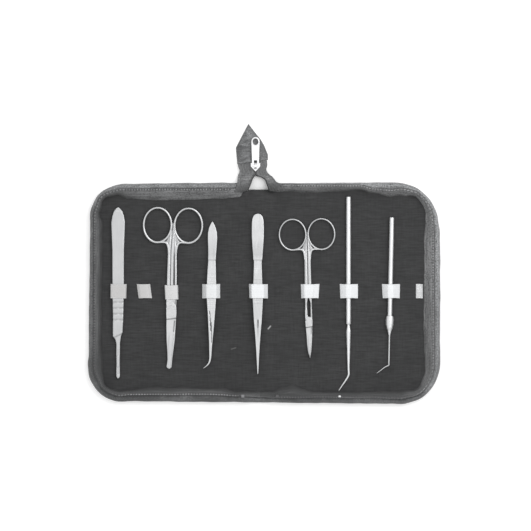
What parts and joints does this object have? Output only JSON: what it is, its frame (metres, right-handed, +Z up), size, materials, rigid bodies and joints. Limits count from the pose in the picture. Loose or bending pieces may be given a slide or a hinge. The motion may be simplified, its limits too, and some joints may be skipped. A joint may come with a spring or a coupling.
{
  "type": "dissecting instrument case",
  "caption": "Zip-round dissecting case lying open flat, with scissors, forceps, a scalpel handle, a probe and a bent needle under one woven elastic strap.",
  "frame": {"origin": "middle of the open case on its underside", "axes": "+X across the two open leaves, +Y along the spine towards the zip's tail, +Z up out of the case"},
  "size_m": [0.254, 0.2031, 0.0115],
  "materials": {
    "leatherette": "black grained leatherette",
    "stiffener": "plain grey board",
    "lining": "black smooth vinyl lining",
    "zip_tape": "dark woven zip tape",
    "zip_chain": "dull metal teeth",
    "zip_metal": "polished slider and puller",
    "elastic": "white woven elastic",
    "instrument_steel": "satin stainless steel"
  },
  "bodies": {
    "spine": {"spine_cover": "leatherette", "spine_board": "stiffener", "spine_liner": "lining", "loop_straight_forceps": "elastic", "tail_tape_left": "zip_tape", "tail_tape_right": "zip_tape", "zip_tab": "leatherette"},
    "left_leaf": {"left_board": "stiffener", "left_cover": "leatherette", "left_elastic": "elastic", "left_liner": "lining", "left_zip_stop": "zip_chain", "left_zip_tape": "zip_tape", "left_zip_teeth": "zip_chain", "loop_scalpel": "elastic", "loop_spare": "elastic", "loop_large_scissors": "elastic", "loop_curved_forceps": "elastic"},
    "right_leaf": {"right_board": "stiffener", "right_cover": "leatherette", "right_elastic": "elastic", "right_liner": "lining", "right_zip_stop": "zip_chain", "right_zip_tape": "zip_tape", "right_zip_teeth": "zip_chain", "loop_small_scissors": "elastic", "loop_probe": "elastic", "loop_needle": "elastic", "strap_end": "elastic"},
    "slider": {"slider_body": "zip_metal"},
    "puller": {"zip_puller": "zip_metal"},
    "scalpel": {"scalpel_handle": "instrument_steel"},
    "large_scissors": {"large_scissors_upper": "instrument_steel", "large_scissors_screw": "instrument_steel"},
    "large_scissors_half": {"large_scissors_lower": "instrument_steel"},
    "small_scissors": {"small_scissors_upper": "instrument_steel", "small_scissors_screw": "instrument_steel"},
    "small_scissors_half": {"small_scissors_lower": "instrument_steel"},
    "curved_forceps": {"curved_forceps_lower": "instrument_steel"},
    "curved_forceps_arm": {"curved_forceps_upper": "instrument_steel"},
    "straight_forceps": {"straight_forceps_lower": "instrument_steel"},
    "straight_forceps_arm": {"straight_forceps_upper": "instrument_steel"},
    "probe": {"probe_handle": "instrument_steel", "probe_point": "instrument_steel"},
    "needle": {"needle_handle": "instrument_steel", "needle_ferrule": "instrument_steel", "needle_point": "instrument_steel"}
  },
  "joints": [
    {"name": "left_fold", "type": "hinge", "parent": "spine", "child": "left_leaf", "pos_m": [-0.01, 0, 0.001], "axis": [0, 1, 0], "range_deg": [0, 90]},
    {"name": "right_fold", "type": "hinge", "parent": "spine", "child": "right_leaf", "pos_m": [0.01, 0, 0.001], "axis": [0, -1, 0], "range_deg": [0, 90]},
    {"name": "slider_travel", "type": "slide", "parent": "spine", "child": "slider", "axis": [0, -1, 0], "range_m": [0, 0.003]},
    {"name": "puller_flip", "type": "hinge", "parent": "slider", "child": "puller", "pos_m": [-0.0033, 0.0925, 0.00465], "axis": [-1, 0, 0], "range_deg": [-150, 0]},
    {"name": "scalpel_draw", "type": "slide", "parent": "left_leaf", "child": "scalpel", "axis": [0, 0.342, 0.9397], "range_m": [0, 0.15], "deforming": ["loop_scalpel"]},
    {"name": "large_scissors_draw", "type": "slide", "parent": "left_leaf", "child": "large_scissors", "axis": [0, 0.342, 0.9397], "range_m": [0, 0.15], "deforming": ["loop_large_scissors"]},
    {"name": "curved_forceps_draw", "type": "slide", "parent": "left_leaf", "child": "curved_forceps", "axis": [0, 0.342, 0.9397], "range_m": [0, 0.15], "deforming": ["loop_curved_forceps"]},
    {"name": "straight_forceps_draw", "type": "slide", "parent": "spine", "child": "straight_forceps", "axis": [0, 0.342, 0.9397], "range_m": [0, 0.15], "deforming": ["loop_straight_forceps"]},
    {"name": "small_scissors_draw", "type": "slide", "parent": "right_leaf", "child": "small_scissors", "axis": [0, 0.342, 0.9397], "range_m": [0, 0.15], "deforming": ["loop_small_scissors"]},
    {"name": "probe_draw", "type": "slide", "parent": "right_leaf", "child": "probe", "axis": [0, 0.342, 0.9397], "range_m": [0, 0.15], "deforming": ["loop_probe"]},
    {"name": "needle_draw", "type": "slide", "parent": "right_leaf", "child": "needle", "axis": [0, 0.342, 0.9397], "range_m": [0, 0.15], "deforming": ["loop_needle"]},
    {"name": "large_scissors_open", "type": "hinge", "parent": "large_scissors", "child": "large_scissors_half", "pos_m": [-0.06475, -0.0156, 0.0048], "axis": [0, 0, 1], "range_deg": [0, 8]},
    {"name": "small_scissors_open", "type": "hinge", "parent": "small_scissors", "child": "small_scissors_half", "pos_m": [0.0356, -0.0216, 0.0048], "axis": [0, 0, 1], "range_deg": [0, 7]},
    {"name": "curved_forceps_squeeze", "type": "hinge", "parent": "curved_forceps", "child": "curved_forceps_arm", "pos_m": [-0.0347, 0.0515, 0.00495], "axis": [1, 0, 0], "range_deg": [0, 1.9], "stiffness_Nm_per_rad": 1, "springref_deg": -1.15},
    {"name": "straight_forceps_squeeze", "type": "hinge", "parent": "straight_forceps", "child": "straight_forceps_arm", "pos_m": [-0.0016, 0.0574, 0.00495], "axis": [1, 0, 0], "range_deg": [0, 1.9], "stiffness_Nm_per_rad": 1, "springref_deg": -1.15}
  ]
}
